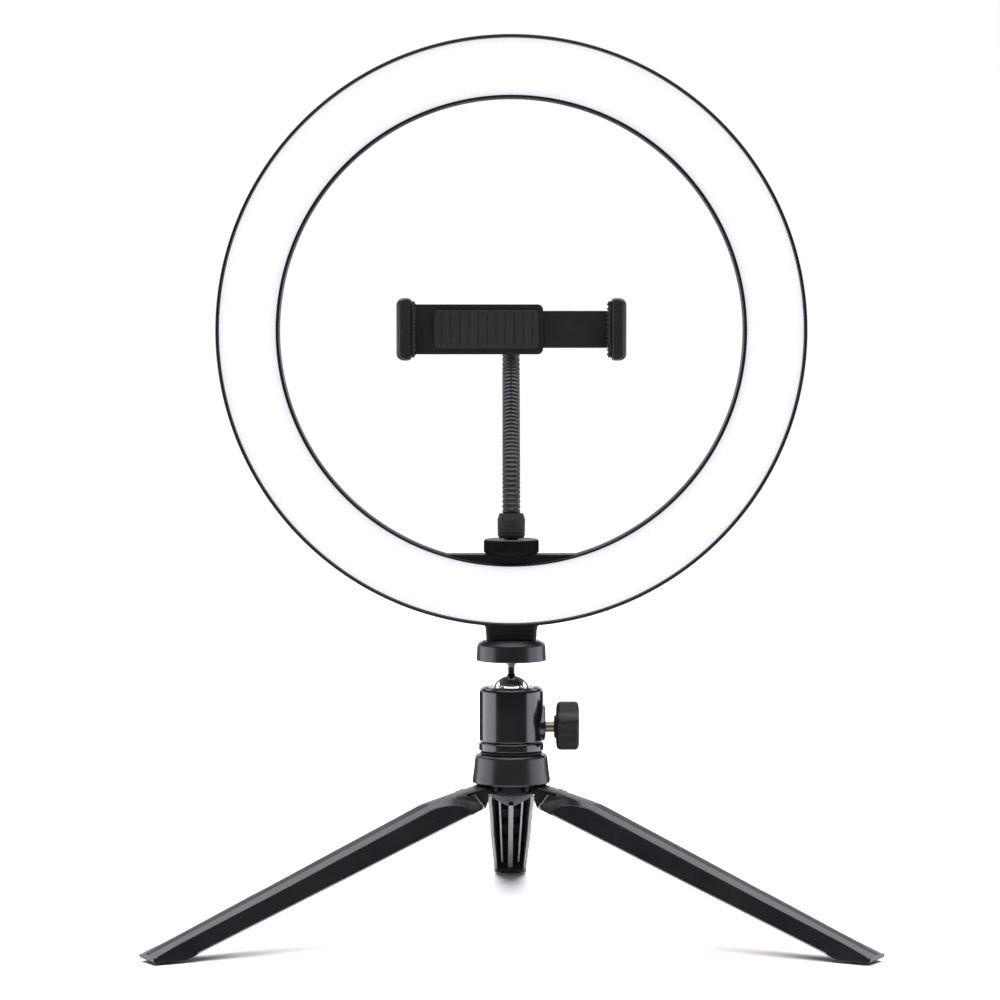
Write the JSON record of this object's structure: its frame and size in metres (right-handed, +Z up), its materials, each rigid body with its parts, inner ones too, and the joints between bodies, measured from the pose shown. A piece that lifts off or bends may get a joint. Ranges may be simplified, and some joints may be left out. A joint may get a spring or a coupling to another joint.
{
  "type": "ring light on mini tripod",
  "caption": "Round ring light with a milky diffuser on a ball head and folding tripod, with a sprung phone clamp on a gooseneck inside the ring.",
  "frame": {"origin": "on the floor under the middle of the bounding box", "axes": "+Z up, the lamp faces -Y, +X to the right seen from the front"},
  "size_m": [0.3136, 0.2716, 0.3948],
  "materials": {
    "gloss_black": "gloss black paint",
    "satin_black": "satin black moulding",
    "matt_black": "matt black moulding",
    "leg_grey": "satin dark grey moulding",
    "rubber_black": "matt black rubber",
    "chrome": "bright chrome plate",
    "steel": "plain steel",
    "brass": "plain brass",
    "diffuser_white": "milky translucent white",
    "board_white": "white solder mask with light-emitting chips",
    "head_metal": "gloss black anodised aluminium"
  },
  "bodies": {
    "tripod_hub": {"hub_core": "matt_black", "hub_cover": "leg_grey", "hub_stud": "steel", "head_washer": "rubber_black", "head_base": "head_metal", "leg_pin_front_right": "steel", "leg_pin_front_left": "steel", "leg_pin_rear": "steel"},
    "leg_front_right": {"leg_front_right": "leg_grey", "foot_pad_front_right": "rubber_black"},
    "leg_front_left": {"leg_front_left": "leg_grey", "foot_pad_front_left": "rubber_black"},
    "leg_rear": {"leg_rear": "leg_grey", "foot_pad_rear": "rubber_black"},
    "head": {"head_body": "head_metal", "ball_retainer": "head_metal", "brake_cup": "matt_black"},
    "knob": {"lock_knob": "gloss_black", "knob_screw": "brass"},
    "ball": {"ball": "chrome"},
    "platform": {"ball_stem": "chrome", "platform_disc": "satin_black", "platform_pad": "rubber_black"},
    "lamp": {"rear_housing": "satin_black", "diffuser": "diffuser_white", "led_board": "board_white", "thread_insert": "brass", "cable_inlet": "rubber_black", "holder_stud": "steel", "rear_screw_1": "steel", "rear_screw_2": "steel", "rear_screw_3": "steel", "rear_screw_4": "steel", "rear_screw_5": "steel", "rear_screw_6": "steel"},
    "wheel": {"lock_wheel": "satin_black"},
    "hose_lower": {"base_ferrule": "matt_black", "gooseneck_lower": "satin_black"},
    "hose_upper": {"gooseneck_upper": "satin_black", "top_ferrule": "matt_black"},
    "clamp_ball": {"top_ball": "chrome"},
    "clamp": {"clamp_body": "satin_black", "socket_nut": "matt_black", "jaw_pad_fixed": "rubber_black", "back_pad": "rubber_black", "tension_spring": "steel"},
    "jaw": {"sliding_jaw": "satin_black", "jaw_pad_sliding": "rubber_black"}
  },
  "joints": [
    {"name": "leg_fold_front_right", "type": "hinge", "parent": "tripod_hub", "child": "leg_front_right", "pos_m": [0.01005, -0.04758, 0.0639], "axis": [0.5, 0.866, 0], "range_deg": [0, 69]},
    {"name": "leg_fold_front_left", "type": "hinge", "parent": "tripod_hub", "child": "leg_front_left", "pos_m": [-0.01005, -0.04758, 0.0639], "axis": [0.5, -0.866, 0], "range_deg": [0, 69]},
    {"name": "leg_fold_rear", "type": "hinge", "parent": "tripod_hub", "child": "leg_rear", "pos_m": [0, -0.03018, 0.0639], "axis": [-1, 0, 0], "range_deg": [0, 69]},
    {"name": "head_pan", "type": "hinge", "parent": "tripod_hub", "child": "head", "pos_m": [0, -0.04178, 0.0833], "axis": [0, 0, 1], "continuous": true},
    {"name": "knob_turn", "type": "hinge", "parent": "head", "child": "knob", "pos_m": [0.02, -0.04178, 0.0898], "axis": [1, 0, 0], "continuous": true},
    {"name": "ball_tilt", "type": "hinge", "parent": "head", "child": "ball", "pos_m": [0, -0.04178, 0.1032], "axis": [1, 0, 0], "range_deg": [-35, 35]},
    {"name": "ball_swing", "type": "hinge", "parent": "ball", "child": "platform", "pos_m": [0, -0.04178, 0.1032], "axis": [0, 1, 0], "range_deg": [-35, 35]},
    {"name": "lamp_turn", "type": "hinge", "parent": "platform", "child": "lamp", "pos_m": [0, -0.04178, 0.1287], "axis": [0, 0, 1], "continuous": true},
    {"name": "wheel_turn", "type": "hinge", "parent": "lamp", "child": "wheel", "pos_m": [0, -0.04178, 0.17], "axis": [0, 0, 1], "continuous": true},
    {"name": "holder_turn", "type": "hinge", "parent": "lamp", "child": "hose_lower", "pos_m": [0, -0.04178, 0.178], "axis": [0, 0, 1], "continuous": true},
    {"name": "hose_bend", "type": "hinge", "parent": "hose_lower", "child": "hose_upper", "pos_m": [0, -0.01788, 0.2239], "axis": [1, 0, 0], "range_deg": [-20, 20]},
    {"name": "clamp_rotate", "type": "hinge", "parent": "hose_upper", "child": "clamp_ball", "pos_m": [0, -0.02778, 0.2657], "axis": [0, 1, 0], "continuous": true},
    {"name": "clamp_tilt", "type": "hinge", "parent": "clamp_ball", "child": "clamp", "pos_m": [0, -0.02778, 0.2657], "axis": [1, 0, 0], "range_deg": [-20, 20]},
    {"name": "jaw_slide", "type": "slide", "parent": "clamp", "child": "jaw", "axis": [1, 0, 0], "range_m": [-0.0275, 0], "deforming": ["tension_spring"]}
  ]
}
